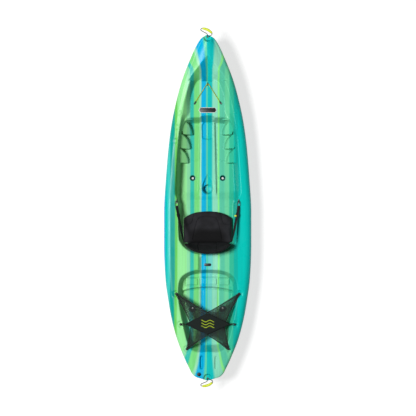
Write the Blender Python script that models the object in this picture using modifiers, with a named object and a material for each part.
"""A sit-on-top recreational kayak, built as its real pieces.

The deck and the hull are two formed plastic sheets that lap at the seam. The seat, its
straps, the carry handles, the drain plug, the bow bungee and the tank-well net are fitted
to the deck. +Y is the bow, +X is starboard and +Z is up. The origin is on the floor, under
the middle of the boat. All sizes are in metres.
"""

import math

import bmesh
import bpy
from mathutils import Matrix, Vector

# Overall sizes
HULL_LENGTH = 2.90
BEAM = 0.737
SHEET = 0.005  # thickness of the formed sheets
GAP = 0.0004  # clearance between faces that touch
LAP = 0.014  # how far the hull's edge stands inside the deck's lip
TIP_SOLID = 0.036  # length at each end where the sheets are pressed solid

# Deck skin
SHOULDER_WIDTH = 0.056
SHOULDER_DROP = 0.052
LIP_DEPTH = 0.030
TIP_SHOULDER_SHARE = 0.42  # the shoulder is this much as wide and deep at the tips
BOW_CROWN = 0.022
STERN_CROWN = 0.008
RIM_WIDTH = 0.070  # from the beam to the cockpit's opening, at the bow
RIM_GROWTH = 0.013  # how much wider the rim is beside the seat

# Levels above the floor
PLATFORM_Z = 0.235
FOOTWELL_Z = 0.115
SEAT_FLOOR_Z = 0.155
CHANNEL_Z = 0.258
LEDGE_Z = 0.180
TANKWELL_Z = 0.165
CONSOLE_RISE = 0.022
HEEL_SLOT_DEPTH = 0.012
CUP_DEPTH = 0.062
SPOON_DEPTH = 0.024

# Lengths along the boat. The bow's are taken from the bow, the stern's from the stern.
BOW_DECK = 0.163
RAMP_LENGTH = 0.214
RAMP_FOOT_RISE = 0.025
STERN_DECK = 0.230
STEP_Y = 0.765
STEP_RUN = 0.042
FOOTWELL_REAR_Y = 0.143
SEAT_FRONT_Y = 0.067
SEAT_REAR_Y = -0.400
TANKWELL_FRONT_Y = -0.513
LEDGE_REAR_Y = -0.660
WALL_RUN = 0.046  # how far a footwell's side leans out over its depth
RIM_RUN = 0.016  # the part of it that lies above the platform's level
SEAT_WALL_RUN = 0.030
SEAT_REAR_RUN = 0.044

# Half widths of the wells
PLATFORM_HALF = 0.149
SEAT_WELL_HALF = 0.247
TANKWELL_HALF = 0.254
CHANNEL_HALF = 0.073
CONSOLE_FRONT_HALF = 0.058
CONSOLE_REAR_HALF = 0.074
HEEL_SLOT_HALF = 0.045
HEEL_SLOT_LENGTH = 0.139

# Foot braces, four each side
BRACE_COUNT = 4
BRACE_PITCH = 0.120
BRACE_LENGTH = 0.132
BRACE_REAR_Y = 0.379
BRACE_REACH = 0.153  # from the centre line to the rearmost brace
BRACE_REACH_STEP = -0.0115
BRACE_REAR_Z = [0.163, 0.170, 0.182, 0.240]
BRACE_SLOPE_OUT = 0.45
BRACE_SLOPE_AHEAD = 0.22
BRACE_SIDE_RUN = 0.022

# Hull
KEEL_HALF = 0.046
RAIL_X = 0.190
RAIL_HALF = 0.020
ARCH_RISE = 0.016
VEE_AT_TIPS = 0.55

# Scuppers
SCUPPER_X = 0.128
SCUPPER_FRONT_Y = 0.255
SCUPPER_REAR_Y = -0.855
SCUPPER_MOUTH = 0.021
SCUPPER_BORE = 0.0095
SCUPPER_WALL = 0.003
SCUPPER_FLANGE = 0.005
SCUPPER_FLANGE_THICKNESS = 0.002
SCUPPER_TAPER = 0.045

# Cup holder
CUP_Y = 0.164
CUP_RADIUS = 0.037
SPOON_RADIUS = 0.045
SPOON_LENGTH = 0.139

# Carry handles
TIP_HOLE_RADIUS = 0.0075
TIP_HOLE_INSET = 0.017
TIP_POCKET_RADIUS = 0.029
TIP_POCKET_DEPTH = 0.014
ROPE_RADIUS = 0.003
GRIP_LENGTH = 0.100
GRIP_RADIUS = 0.011
GRIP_END_RADIUS = 0.0090
GRIP_BORE = 0.0038
GRIP_BOW = 0.010  # how far the grip's middle arches away from the boat
GRIP_REACH = 0.047  # from the boat's tip to the grip's middle
HANDLE_DROOP = 24.0  # degrees below level
BOW_GRIP_TWIST = 30.0
STERN_GRIP_TWIST = 22.0
STOPPER_RADIUS = 0.0120
STOPPER_HEIGHT = 0.012

# Drain plug
PLUG_X = -0.073
PLUG_INSET = 0.051
PLUG_FLANGE_RADIUS = 0.0165
PLUG_FLANGE_THICKNESS = 0.003
PLUG_BARREL_RADIUS = 0.0105
PLUG_BARREL_LENGTH = 0.018
PLUG_STEM_RADIUS = 0.0070
PLUG_STEM_LENGTH = 0.014
PLUG_CAP_RADIUS = 0.0130
PLUG_CAP_THICKNESS = 0.005
PLUG_WING_LENGTH = 0.020
PLUG_WING_HEIGHT = 0.006
SEAL_THICKNESS = 0.0025
SEAL_WIDTH = 0.003

# Seat
CUSHION_HALF_WIDTH = 0.201
CUSHION_FRONT_Y = -0.030
CUSHION_REAR_Y = -0.300
CUSHION_THICKNESS = 0.044
CUSHION_EDGE = 0.030
CUSHION_ROLL = 0.058  # how far the front edge curves back at the corners
CUSHION_REAR_ROLL = 0.045
BACKREST_HALF_WIDTH = 0.197
BACKREST_HEIGHT = 0.250
BACKREST_THICKNESS = 0.034
BACKREST_EDGE = 0.016
BACKREST_LEAN = 17.0
BACKREST_WRAP = 0.060
BACKREST_FOOT_Y = -0.286
CHANNEL_SEW_DEPTH = 0.006
CHANNEL_SEW_WIDTH = 0.010

# Straps and their fittings
STRAP_WIDTH = 0.020
STRAP_THICKNESS = 0.002
STRAP_JOIN_SHARE = 0.66  # where the strap meets the backrest's side, up its height
PADEYE_X = 0.2615
PADEYE_Y = 0.054
PADEYE_LENGTH = 0.038
PADEYE_WIDTH = 0.012
PADEYE_BASE = 0.0022
PADEYE_WIRE = 0.0020
PADEYE_ARCH_HALF = 0.0080
PADEYE_SCREW_SPACING = 0.0275
HOOK_WIRE = 0.0018
HOOK_HALF_WIDTH = 0.0125
HOOK_LENGTH = 0.036
BUCKLE_SHARE = 0.24
BUCKLE_LENGTH = 0.030
BUCKLE_RIM = 0.005
BUCKLE_THICKNESS = 0.007
SCREW_HEAD_RADIUS = 0.0032
SCREW_HEAD_HEIGHT = 0.0018
SCREW_SHANK_RADIUS = 0.0016
SCREW_LENGTH = 0.013

# Bow bungee
BUNGEE_RADIUS = 0.003
BUNGEE_APEX_Y = 1.046
BUNGEE_FOOT_Y = 0.874
BUNGEE_FOOT_X = 0.116
BUNGEE_RISE = 0.0052  # of the cord's centre above the platform
BUNGEE_END_LENGTH = 0.030
BUNGEE_END_RADIUS = 0.0062
BUNGEE_SOCKET = 0.010

# Tank-well net
NET_STRUT = 0.0016
NET_CORD_RADIUS = 0.0030
NET_RISE = 0.0058  # of the cord's centre above the crest line
NET_CUTS = 3  # lines across each part of the net
PANEL_THICKNESS = 0.0012
POST_RADIUS = 0.0045
POST_HEAD_RADIUS = 0.0080
POST_HEAD_THICKNESS = 0.0025
POST_SHANK_RADIUS = 0.0030
POCKET_RADIUS = 0.0150
POCKET_DEPTH = 0.005
POSTS = {"front": (0.264, -0.722), "middle": (0.226, -0.979), "rear": (0.174, -1.186)}
NET_FRONT = (0.0, -0.879)
NET_REAR = (0.0, -1.068)
NET_WAIST = [(0.151, -0.952), (0.141, -1.002)]
PANEL_REACH = 0.189

# Badges: length, width and place along the boat
BOW_BADGE = (0.150, 0.046, 0.826)
REAR_BADGE = (0.060, 0.024, -0.478)
BADGE_THICKNESS = 0.0012

HALF_LENGTH = HULL_LENGTH / 2
HALF_BEAM = BEAM / 2
ROUND_SIDES = 16  # facets of a turned piece
SCUPPER_SIDES = 12
SMALL_SIDES = 10  # facets of a small turned piece
POST_SIDES = 8
ABOVE = 0.42  # cutters reach this high, clear of the deck

# Shares of the half length, each with its share of the half beam, from stern to bow
PLAN = [
    (-1.0, 0.122), (-0.986, 0.251), (-0.963, 0.352), (-0.94, 0.402), (-0.882, 0.514),
    (-0.766, 0.697), (-0.65, 0.822), (-0.534, 0.905), (-0.418, 0.966), (-0.244, 0.999),
    (-0.012, 1.0), (0.163, 0.960), (0.395, 0.879), (0.569, 0.765), (0.743, 0.582),
    (0.894, 0.343), (0.952, 0.228), (0.986, 0.137), (1.0, 0.085),
]
# Shares of the half length, each with the crest's height
SHEER = [(-1.0, 0.285), (-0.8, 0.275), (-0.5, 0.266), (-0.15, 0.262), (0.2, 0.267),
         (0.5, 0.286), (0.76, 0.312), (1.0, 0.345)]
# Shares of the half length, each with the keel's height
KEEL = [(-1.0, 0.205), (-0.97, 0.160), (-0.92, 0.100), (-0.85, 0.044), (-0.75, 0.010),
        (-0.64, 0.0), (0.58, 0.0), (0.70, 0.013), (0.80, 0.047), (0.90, 0.125),
        (0.96, 0.205), (1.0, 0.272)]


# Curves and outlines

def through(points, t):
    """Value at t of a smooth curve through (t, value) points."""
    if t <= points[0][0]:
        return points[0][1]
    if t >= points[-1][0]:
        return points[-1][1]
    i = max(k for k in range(len(points) - 1) if points[k][0] <= t)

    def slope(k):
        a, b = max(k - 1, 0), min(k + 1, len(points) - 1)
        return (points[b][1] - points[a][1]) / (points[b][0] - points[a][0])

    (t0, v0), (t1, v1) = points[i], points[i + 1]
    span = t1 - t0
    u = (t - t0) / span
    return ((2 * u**3 - 3 * u**2 + 1) * v0 + (u**3 - 2 * u**2 + u) * span * slope(i)
            + (3 * u**2 - 2 * u**3) * v1 + (u**3 - u**2) * span * slope(i + 1))


def half_beam(y):
    return min(through(PLAN, y / HALF_LENGTH), 1.0) * HALF_BEAM


def crest_z(y):
    return through(SHEER, y / HALF_LENGTH)


def keel_z(y):
    return max(through(KEEL, y / HALF_LENGTH), 0.0)


def tip_share(y):
    """1 amidships, falling to TIP_SHOULDER_SHARE at the tips."""
    near = max(abs(y) / HALF_LENGTH - 0.6, 0.0) / 0.4
    return 1 - (1 - TIP_SHOULDER_SHARE) * near


def lip_z(y):
    return crest_z(y) - (SHOULDER_DROP + LIP_DEPTH) * tip_share(y)


def crown(y):
    near_bow = min(max(y / HALF_LENGTH + 0.1, 0.0) / 0.9, 1.0)
    return STERN_CROWN + (BOW_CROWN - STERN_CROWN) * near_bow


def crest_x(y):
    return half_beam(y) - SHOULDER_WIDTH * tip_share(y)


def skin_z(x, y):
    """Height of the deck's skin inside its crest, as if no well were cut.

    It is read from the flat facets between the rows, so that what stands on the deck
    stands on the surface that is really there.
    """
    after = next((k for k, row in enumerate(ROWS) if row >= y), len(ROWS) - 1)
    a, b = ROWS[max(after - 1, 0)], ROWS[after]
    t = (y - a) / (b - a) if b > a else 0.0
    u = min(abs(x) / (crest_x(a) * (1 - t) + crest_x(b) * t), 1.0)
    share = 1 - 0.5 * u if u < 0.5 else 1.5 * (1 - u)
    return (crest_z(a) + crown(a) * share) * (1 - t) + (crest_z(b) + crown(b) * share) * t


def opening(y):
    """Half width of the cockpit's opening at the rim."""
    toward_seat = min(max((0.9 - y) / 0.8, 0.0), 1.0)
    return half_beam(y) - RIM_WIDTH - RIM_GROWTH * toward_seat


def rows():
    """Stations along the boat that every lofted skin shares, so their facets stay parallel."""
    shares = [0.11 * k for k in range(8)] + [0.835, 0.885, 0.925, 0.955, 0.986, 0.994]
    inner = [HALF_LENGTH, HALF_LENGTH - SHEET, HALF_LENGTH - SHEET - GAP,
             HALF_LENGTH - TIP_SOLID]
    ys = {round(s * HALF_LENGTH, 6) for s in shares} | {round(y, 6) for y in inner}
    return sorted({-y for y in ys} | ys)


ROWS = rows()


def both_sides(points):
    """A closed loop from the points of its starboard side, listed from bow to stern."""
    port = [(-x, y) for x, y in reversed(points) if x > 1e-6]
    return list(points) + port


def corner_steps(loop, steps=3):
    """How many arc steps each corner of the loop is worth: none where it hardly turns."""
    found = []
    for i, corner in enumerate(loop):
        before = Vector(corner) - Vector(loop[i - 1])
        after = Vector(loop[(i + 1) % len(loop)]) - Vector(corner)
        turn = math.degrees(before.angle(after, 0.0))
        found.append(0 if turn < 24 else 1 if turn < 42 else steps)
    return found


def rounded(loop, radius, steps=None):
    """The loop with its corners cut by arcs, which shrink where an edge is short."""
    steps = steps or corner_steps(loop)
    found = []
    for i, corner in enumerate(loop):
        if not steps[i]:
            found.append(corner)
            continue
        here = Vector(corner)
        back = Vector(loop[i - 1]) - here
        ahead = Vector(loop[(i + 1) % len(loop)]) - here
        turn = back.angle(ahead, math.pi)
        reach = min(radius / math.tan(turn / 2), back.length * 0.45, ahead.length * 0.45)
        start = here + back.normalized() * reach
        end = here + ahead.normalized() * reach
        for k in range(steps[i] + 1):
            u = k / steps[i]
            point = start.lerp(here, u).lerp(here.lerp(end, u), u)
            found.append((point.x, point.y))
    return found


def grown(loop, distance):
    """The loop moved outwards by a distance. It runs clockwise, as both_sides makes it."""
    found = []
    for i, corner in enumerate(loop):
        here = Vector(corner)
        before = (here - Vector(loop[i - 1])).normalized()
        after = (Vector(loop[(i + 1) % len(loop)]) - here).normalized()
        out = Vector((-before.y - after.y, before.x + after.x)).normalized()
        stretch = 1 / max(out.dot(Vector((-before.y, before.x))), 0.5)
        found.append(tuple(here + out * distance * stretch))
    return found


def circle(x, y, radius, sides=ROUND_SIDES):
    turns = [-2 * math.pi * k / sides for k in range(sides)]
    return [(x + radius * math.cos(a), y + radius * math.sin(a)) for a in turns]


# Making objects

def material(name, colour, roughness, metallic=0.0):
    made = bpy.data.materials.new(name)
    made.use_nodes = True
    shader = made.node_tree.nodes["Principled BSDF"]
    shader.inputs["Base Color"].default_value = (*colour, 1.0)
    shader.inputs["Roughness"].default_value = roughness
    shader.inputs["Metallic"].default_value = metallic
    return made


def clear_scene():
    for obj in list(bpy.data.objects):
        bpy.data.objects.remove(obj)


def put(name, mesh, group, finish=None):
    obj = bpy.data.objects.new(name, mesh)
    bpy.data.collections[group].objects.link(obj)
    if finish:
        mesh.materials.append(finish)
    if group != "kayak":
        obj.hide_render = True
        obj.display_type = "WIRE"
    return obj


def mesh_from(name, bm, smooth_degrees=35.0):
    bmesh.ops.recalc_face_normals(bm, faces=bm.faces)
    mesh = bpy.data.meshes.new(name)
    bm.to_mesh(mesh)
    bm.free()
    mesh.shade_smooth()
    mesh.set_sharp_from_angle(angle=math.radians(smooth_degrees))
    return mesh


def add_quad(bm, a, b, c, d):
    """A face through four points, split the same way on both sides of the boat if it is not flat."""
    normal = (b.co - a.co).cross(d.co - a.co)
    if normal.length < 1e-12 or abs((c.co - a.co).dot(normal.normalized())) < 0.00002:
        bm.faces.new((a, b, c, d))
    elif a.co.x + b.co.x + c.co.x + d.co.x >= 0:
        bm.faces.new((a, b, c))
        bm.faces.new((a, c, d))
    else:
        bm.faces.new((a, b, d))
        bm.faces.new((b, c, d))


def loft(name, rings, group, finish=None, smooth_degrees=35.0):
    """A closed solid through rings that have the same number of points."""
    bm = bmesh.new()
    loops = [[bm.verts.new(point) for point in ring] for ring in rings]
    count = len(rings[0])
    for low, high in zip(loops, loops[1:]):
        for i in range(count):
            j = (i + 1) % count
            add_quad(bm, low[i], low[j], high[j], high[i])
    bm.faces.new(loops[0])
    bm.faces.new(reversed(loops[-1]))
    return put(name, mesh_from(name, bm, smooth_degrees), group, finish)


def at(loop, z):
    """The loop's points at height z, which may be a function of x and y."""
    return [(x, y, z(x, y) if callable(z) else z) for x, y in loop]


def boolean(obj, operation, operand):
    """Adds a live Boolean with one object, or with every object of a collection."""
    modifier = obj.modifiers.new(operation.lower(), "BOOLEAN")
    modifier.operation = operation
    modifier.solver = "EXACT"
    if isinstance(operand, str):
        modifier.operand_type = "COLLECTION"
        modifier.collection = bpy.data.collections[operand]
    else:
        modifier.object = operand
    return modifier


def turned(name, profile, place, group, finish=None, sides=ROUND_SIDES):
    """A solid of revolution. The profile runs from top to bottom, ending on the axis or as a ring."""
    bm = bmesh.new()
    points = [bm.verts.new((radius, 0.0, z)) for radius, z in profile]
    closed = profile[0][0] > 1e-6
    for a, b in zip(points, points[1:]):
        bm.edges.new((a, b))
    if closed:
        bm.edges.new((points[-1], points[0]))
    mesh = bpy.data.meshes.new(name)
    bm.to_mesh(mesh)
    bm.free()
    obj = put(name, mesh, group, finish)
    obj.location = place
    screw = obj.modifiers.new("turn", "SCREW")
    screw.steps = screw.render_steps = sides
    screw.use_merge_vertices = True
    screw.merge_threshold = 0.00001
    screw.use_smooth_shade = True
    return obj


def tube(name, points, radius, group, finish=None, resolution=1, cyclic=False, radii=None):
    """A round cord, wire or bar along the points."""
    curve = bpy.data.curves.new(name, "CURVE")
    curve.dimensions = "3D"
    curve.bevel_depth = radius
    curve.bevel_resolution = resolution
    curve.use_fill_caps = not cyclic
    spline = curve.splines.new("POLY")
    spline.points.add(len(points) - 1)
    spline.use_cyclic_u = cyclic
    for i, (point, place) in enumerate(zip(spline.points, points)):
        point.co = (*place, 1.0)
        point.radius = radii[i] if radii else 1.0
    if finish:
        curve.materials.append(finish)
    obj = bpy.data.objects.new(name, curve)
    bpy.data.collections[group].objects.link(obj)
    if group != "kayak":
        obj.hide_render = True
        obj.display_type = "WIRE"
    return obj


def as_mesh(obj, group, finish=None):
    """The same object as a mesh with its caps welded, so that it can be cut or used to cut."""
    bpy.context.view_layer.update()
    graph = bpy.context.evaluated_depsgraph_get()
    mesh = bpy.data.meshes.new_from_object(obj.evaluated_get(graph))
    bm = bmesh.new()
    bm.from_mesh(mesh)
    bmesh.ops.remove_doubles(bm, verts=bm.verts, dist=0.00001)
    bm.to_mesh(mesh)
    bm.free()
    name, place = obj.name, obj.matrix_world.copy()
    bpy.data.objects.remove(obj)
    made = put(name, mesh, group, finish)
    made.matrix_world = place
    return made


# Deck

def deck_ring(y, inset, bottom):
    """One closed section of the deck's skin: over the crown, and straight across at its foot."""
    share = tip_share(y)
    beam = half_beam(y) - inset
    top = crest_x(y)
    side = [(top * u, skin_z(top * u, y) - inset) for u in (0.0, 0.5)]
    width, drop = beam - top, SHOULDER_DROP * share
    for degrees in (0, 30, 60, 90):
        a = math.radians(degrees)
        side.append((top + width * math.sin(a),
                     crest_z(y) - inset - drop * (1 - math.cos(a))))
    side.append((beam, bottom))
    whole = side[:0:-1]
    return [(x, y, z) for x, z in whole] + [(0.0, y, side[0][1])] + [
        (-x, y, z) for x, z in side[1:]]


def deck_blank(name, inset, end_inset, group, bottom, finish=None):
    """The deck's skin as a solid, set in from its outside by inset and from its ends by end_inset."""
    reach = HALF_LENGTH - end_inset + 1e-7
    rings = [deck_ring(y, inset, bottom(y)) for y in ROWS if abs(y) <= reach]
    return loft(name, rings, group, finish)


def seam_rebate(name):
    """The step inside the deck's lip that takes the hull's edge."""
    reach = HALF_LENGTH - SHEET + 1e-7
    rings = []
    for y in ROWS:
        if abs(y) <= reach:
            beam = half_beam(y) - SHEET
            low, high = lip_z(y) - 0.04, lip_z(y) + LAP
            rings.append([(beam, y, high), (-beam, y, high), (-beam, y, low), (beam, y, low)])
    return loft(name, rings, "deck cuts")


def recess(name, floor, floor_z, mouth, mouth_z):
    """A well in the deck: a cutter for its inside, and the same shape a sheet larger as its wall."""
    loft(f"{name}_inside", [at(floor, floor_z), at(mouth, mouth_z)], "well insides")

    def lower(x, y):
        return (floor_z(x, y) if callable(floor_z) else floor_z) - SHEET

    wall = loft(f"{name}_wall", [at(grown(floor, SHEET), lower), at(grown(mouth, SHEET), mouth_z)],
                "well walls")
    boolean(wall, "INTERSECT", bpy.data.objects["under_skin"])
    return bpy.data.objects[f"{name}_inside"], wall


def well(name, points, floor_z, high_z, top_z):
    """A recess from (high x, high y, floor x, floor y) points of its starboard side.

    Its walls run from the floor's outline through the high outline, which lies at high_z,
    and on up to top_z.
    """
    floor, top = [], []
    for hx, hy, fx, fy in points:
        high = high_z(hx, hy) if callable(high_z) else high_z
        low = floor_z(fx, fy) if callable(floor_z) else floor_z
        more = (top_z - low) / (high - low)
        floor.append((fx, fy))
        top.append((fx + (hx - fx) * more, fy + (hy - fy) * more))
    return recess(name, both_sides(floor), floor_z, both_sides(top), top_z)


def bow_ramp():
    """The V-shaped scoop that runs down from the bow deck to the platform's front wall."""
    top_y = HALF_LENGTH - BOW_DECK
    foot_y = top_y - RAMP_LENGTH
    top_z, foot_z = skin_z(0, top_y), PLATFORM_Z + RAMP_FOOT_RISE
    # share of the ramp's length, half width, share of its fall
    steps = [(0.0, 0.004, 0.01), (0.2, 0.055, 0.42), (0.62, 0.109, 0.78), (1.0, 0.140, 1.0)]
    for part, grow, group in (("inside", 0.0, "well insides"), ("wall", SHEET, "well walls")):
        rings = []
        for along, half, fall in steps:
            y = top_y + (foot_y - top_y) * along
            edge_z = skin_z(half, y)
            half = half + grow
            valley = top_z + (foot_z - top_z) * fall - grow
            rings.append([(-half, y, ABOVE), (-half, y, edge_z - grow), (0, y, valley),
                          (half, y, edge_z - grow), (half, y, ABOVE)])
        made = loft(f"bow_ramp_{part}", rings, group)
    boolean(made, "INTERSECT", bpy.data.objects["under_skin"])


def seat_arc(half, rear, start=-0.235):
    """The rear half of the seat's outline, from its straight side round to the centre line."""
    arc = [(half * math.cos(a), start + (rear - start) * math.sin(a))
           for a in [math.radians(d) for d in (0, 22, 42, 60, 76)]]
    return arc + [(0.0, rear)]


def cockpit():
    """The whole opening from the bow recess to the seat, down to the platform's level."""
    front = HALF_LENGTH - BOW_DECK - RAMP_LENGTH
    points = [(0.0, front + 0.097, 0.0, front), (0.070, front + 0.090, 0.060, front - 0.002),
              (0.115, front + 0.067, 0.095, front - 0.015),
              (opening(front - 0.01), front - 0.01, 0.122, front - 0.068),
              (opening(0.98), 0.98, PLATFORM_HALF - 0.010, 0.95),
              (opening(0.90), 0.90, PLATFORM_HALF, 0.885), (opening(0.82), 0.82, PLATFORM_HALF, 0.80)]
    points += [(opening(y), y, opening(y) - run, y) for y, run in
               ((STEP_Y - 0.01, 0.035), (0.69, RIM_RUN), (0.60, RIM_RUN), (0.47, RIM_RUN),
                (0.33, RIM_RUN), (0.22, RIM_RUN), (0.115, RIM_RUN))]
    narrow = SEAT_WELL_HALF + 0.004
    share = (crest_z(-0.2) - PLATFORM_Z) / (crest_z(-0.2) - SEAT_FLOOR_Z)
    run, rear_run = SEAT_WALL_RUN * share, SEAT_REAR_RUN * share
    points += [(narrow, 0.078, narrow - run, 0.078), (SEAT_WELL_HALF, 0.02, SEAT_WELL_HALF - run, 0.02)]
    high = seat_arc(SEAT_WELL_HALF, SEAT_REAR_Y)
    low = seat_arc(SEAT_WELL_HALF - run, SEAT_REAR_Y + rear_run)
    points += [(*h, *f) for h, f in zip(high, low)]
    inside, wall = well("cockpit", points, PLATFORM_Z, skin_z, ABOVE)
    return inside, wall


def footwell():
    front = STEP_Y - STEP_RUN
    points = [(0.0, STEP_Y, 0.0, front), (0.150, STEP_Y, 0.128, front),
              (0.196, STEP_Y - 0.03, 0.170, front - 0.02)]
    points += [(opening(y) - RIM_RUN + 0.002, y, opening(y) - WALL_RUN, y)
               for y in (0.65, 0.56, 0.45, 0.33, 0.22, FOOTWELL_REAR_Y)]
    points += [(0.0, FOOTWELL_REAR_Y, 0.0, FOOTWELL_REAR_Y)]
    return well("footwell", points, FOOTWELL_Z, PLATFORM_Z, PLATFORM_Z + 0.02)


def seat_well():
    """The slope up from the footwell, and the pan that the seat lies in."""

    def slope(x, y):
        share = (FOOTWELL_REAR_Y - y) / (FOOTWELL_REAR_Y - SEAT_FRONT_Y)
        return FOOTWELL_Z + (SEAT_FLOOR_Z - FOOTWELL_Z) * min(max(share, 0.0), 1.0)

    wide = opening(FOOTWELL_REAR_Y)
    narrow = SEAT_WELL_HALF + 0.004
    ends = [(wide - RIM_RUN + 0.002, wide - WALL_RUN, FOOTWELL_REAR_Y + 0.002),
            (narrow - 0.007, narrow - SEAT_WALL_RUN, SEAT_FRONT_Y - 0.002)]
    points = [(h, y, f, y) for h, f, y in ends]
    points = [(0.0, points[0][1], 0.0, points[0][1])] + points + [(0.0, points[1][1], 0.0, points[1][1])]
    well("seat_slope", points, slope, PLATFORM_Z, PLATFORM_Z + 0.02)
    share = (PLATFORM_Z - SEAT_FLOOR_Z) / (crest_z(-0.2) - SEAT_FLOOR_Z)
    run, rear_run = SEAT_WALL_RUN * (1 - share) - 0.001, SEAT_REAR_RUN * (1 - share) - 0.001
    half = SEAT_WELL_HALF - SEAT_WALL_RUN
    front = SEAT_FRONT_Y + 0.001
    points = [(0.0, front, 0.0, front), (narrow - run, front, half + 0.004, front),
              (SEAT_WELL_HALF - run, 0.02, half, 0.02)]
    high = seat_arc(SEAT_WELL_HALF - run, SEAT_REAR_Y + rear_run)
    low = seat_arc(half, SEAT_REAR_Y + SEAT_REAR_RUN)
    points += [(*h, *f) for h, f in zip(high, low)]
    well("seat_pan", points, SEAT_FLOOR_Z, PLATFORM_Z, PLATFORM_Z + 0.02)


def tank_well():
    y0 = TANKWELL_FRONT_Y
    half = TANKWELL_HALF
    rear = -HALF_LENGTH + STERN_DECK
    points = [(0.0, y0, 0.0, y0 - 0.044), (0.085, y0 - 0.004, 0.080, y0 - 0.048),
              (half - 0.080, y0 - 0.029, half - 0.112, y0 - 0.060),
              (half - 0.029, y0 - 0.068, half - 0.066, y0 - 0.086),
              (half - 0.008, y0 - 0.118, half - 0.050, y0 - 0.126), (half, y0 - 0.219, half - 0.044, y0 - 0.219),
              (half - 0.018, y0 - 0.345, half - 0.062, y0 - 0.345),
              (half - 0.052, y0 - 0.513, half - 0.096, y0 - 0.505),
              (half - 0.086, rear + 0.068, half - 0.126, rear + 0.088),
              (half - 0.112, rear + 0.026, half - 0.150, rear + 0.070), (0.085, rear + 0.004, 0.070, rear + 0.062),
              (0.0, rear + 0.010, 0.0, rear + 0.067)]
    well("tank_well", points, TANKWELL_Z, skin_z, ABOVE)
    # The floor's front end is a ledge, where the well is cut less deep
    ledge = [(half, y0 + 0.01), (half, LEDGE_REAR_Y - 0.012), (0.10, LEDGE_REAR_Y), (-0.10, LEDGE_REAR_Y),
             (-half, LEDGE_REAR_Y - 0.012), (-half, y0 + 0.01)]
    for part, shrink in (("inside", 0.0), ("wall", SHEET)):
        low = TANKWELL_Z - 0.03
        rings = [at(grown(ledge, -shrink), low), at(grown(ledge, -shrink - 0.010), LEDGE_Z - shrink)]
        core = loft(f"ledge_{part}", rings, "well cores")
        boolean(bpy.data.objects[f"tank_well_{part}"], "DIFFERENCE", core)


def rear_channel():
    """The shallow channel from the seat to the tank well."""
    front, rear = SEAT_REAR_Y + 0.02, TANKWELL_FRONT_Y - 0.03
    half = CHANNEL_HALF - 0.004
    points = [(half + 0.006, front, half, front), (half + 0.006, rear, half, rear)]
    well("rear_channel", [(0.0, front, 0.0, front)] + points + [(0.0, rear, 0.0, rear)],
         CHANNEL_Z, skin_z(CHANNEL_HALF, (front + rear) / 2), ABOVE)


def brace_solid(index, side, shrink):
    """One foot brace: a fin on the footwell's side whose rear face takes the foot."""
    rear = BRACE_REAR_Y + index * BRACE_PITCH + shrink
    front = rear + BRACE_LENGTH - 2 * shrink
    reach = BRACE_REACH + index * BRACE_REACH_STEP + shrink
    wall = opening((rear + front) / 2) + 0.02
    tip = opening(front) - WALL_RUN * 0.62
    foot = [(wall, front), (tip, front), (reach + 0.024, rear + BRACE_LENGTH * 0.45),
            (reach + 0.002, rear + 0.028), (reach + 0.006, rear), (wall, rear)]
    run = BRACE_SIDE_RUN
    top = [(wall, front), (tip + run * 0.2, front), (reach + 0.024 + run * 0.8, rear + BRACE_LENGTH * 0.43),
           (reach + run, rear + 0.026), (reach + run + 0.006, rear + 0.006), (wall, rear + 0.006)]

    def top_z(x, y):
        ahead = BRACE_SLOPE_AHEAD if index < BRACE_COUNT - 1 else BRACE_SLOPE_AHEAD / 4
        out = BRACE_SLOPE_OUT if index < BRACE_COUNT - 1 else BRACE_SLOPE_OUT / 2
        return BRACE_REAR_Z[index] - shrink + out * (abs(x) - reach - run) + ahead * (y - rear)

    low = FOOTWELL_Z - (0.03 if shrink else 0.012)
    word = "port" if side < 0 else "starboard"
    kind = "hollow" if shrink else "solid"
    rings = [at([(side * x, y) for x, y in foot], low), at([(side * x, y) for x, y in top], top_z)]
    return loft(f"brace_{kind}_{word}_{index}", rings, f"brace {kind}s")


def console_solid(shrink):
    """The raised console down the middle of the footwell."""
    front, rear = STEP_Y + 0.01 - shrink, FOOTWELL_REAR_Y - 0.02
    low = FOOTWELL_Z - (0.03 if shrink else 0.012)
    high = FOOTWELL_Z + CONSOLE_RISE - shrink

    def outline(edge):
        a, b = CONSOLE_FRONT_HALF + edge - shrink, CONSOLE_REAR_HALF + edge - shrink
        return [(a, front), (b, rear), (-b, rear), (-a, front)]

    kind = "hollow" if shrink else "solid"
    rings = [at(outline(0.008), low), at(outline(-0.004), high)]
    return loft(f"console_{kind}", rings, f"brace {kind}s")


def braces():
    """The braces and the console stand in the footwell, so they are left out of its cutters."""
    for side in (-1, 1):
        for index in range(BRACE_COUNT):
            brace_solid(index, side, 0.0)
            brace_solid(index, side, SHEET)
    console_solid(0.0)
    console_solid(SHEET)
    for name in ("footwell", "cockpit"):
        boolean(bpy.data.objects[f"{name}_inside"], "DIFFERENCE", "brace solids")
        boolean(bpy.data.objects[f"{name}_wall"], "DIFFERENCE", "brace hollows")


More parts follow.
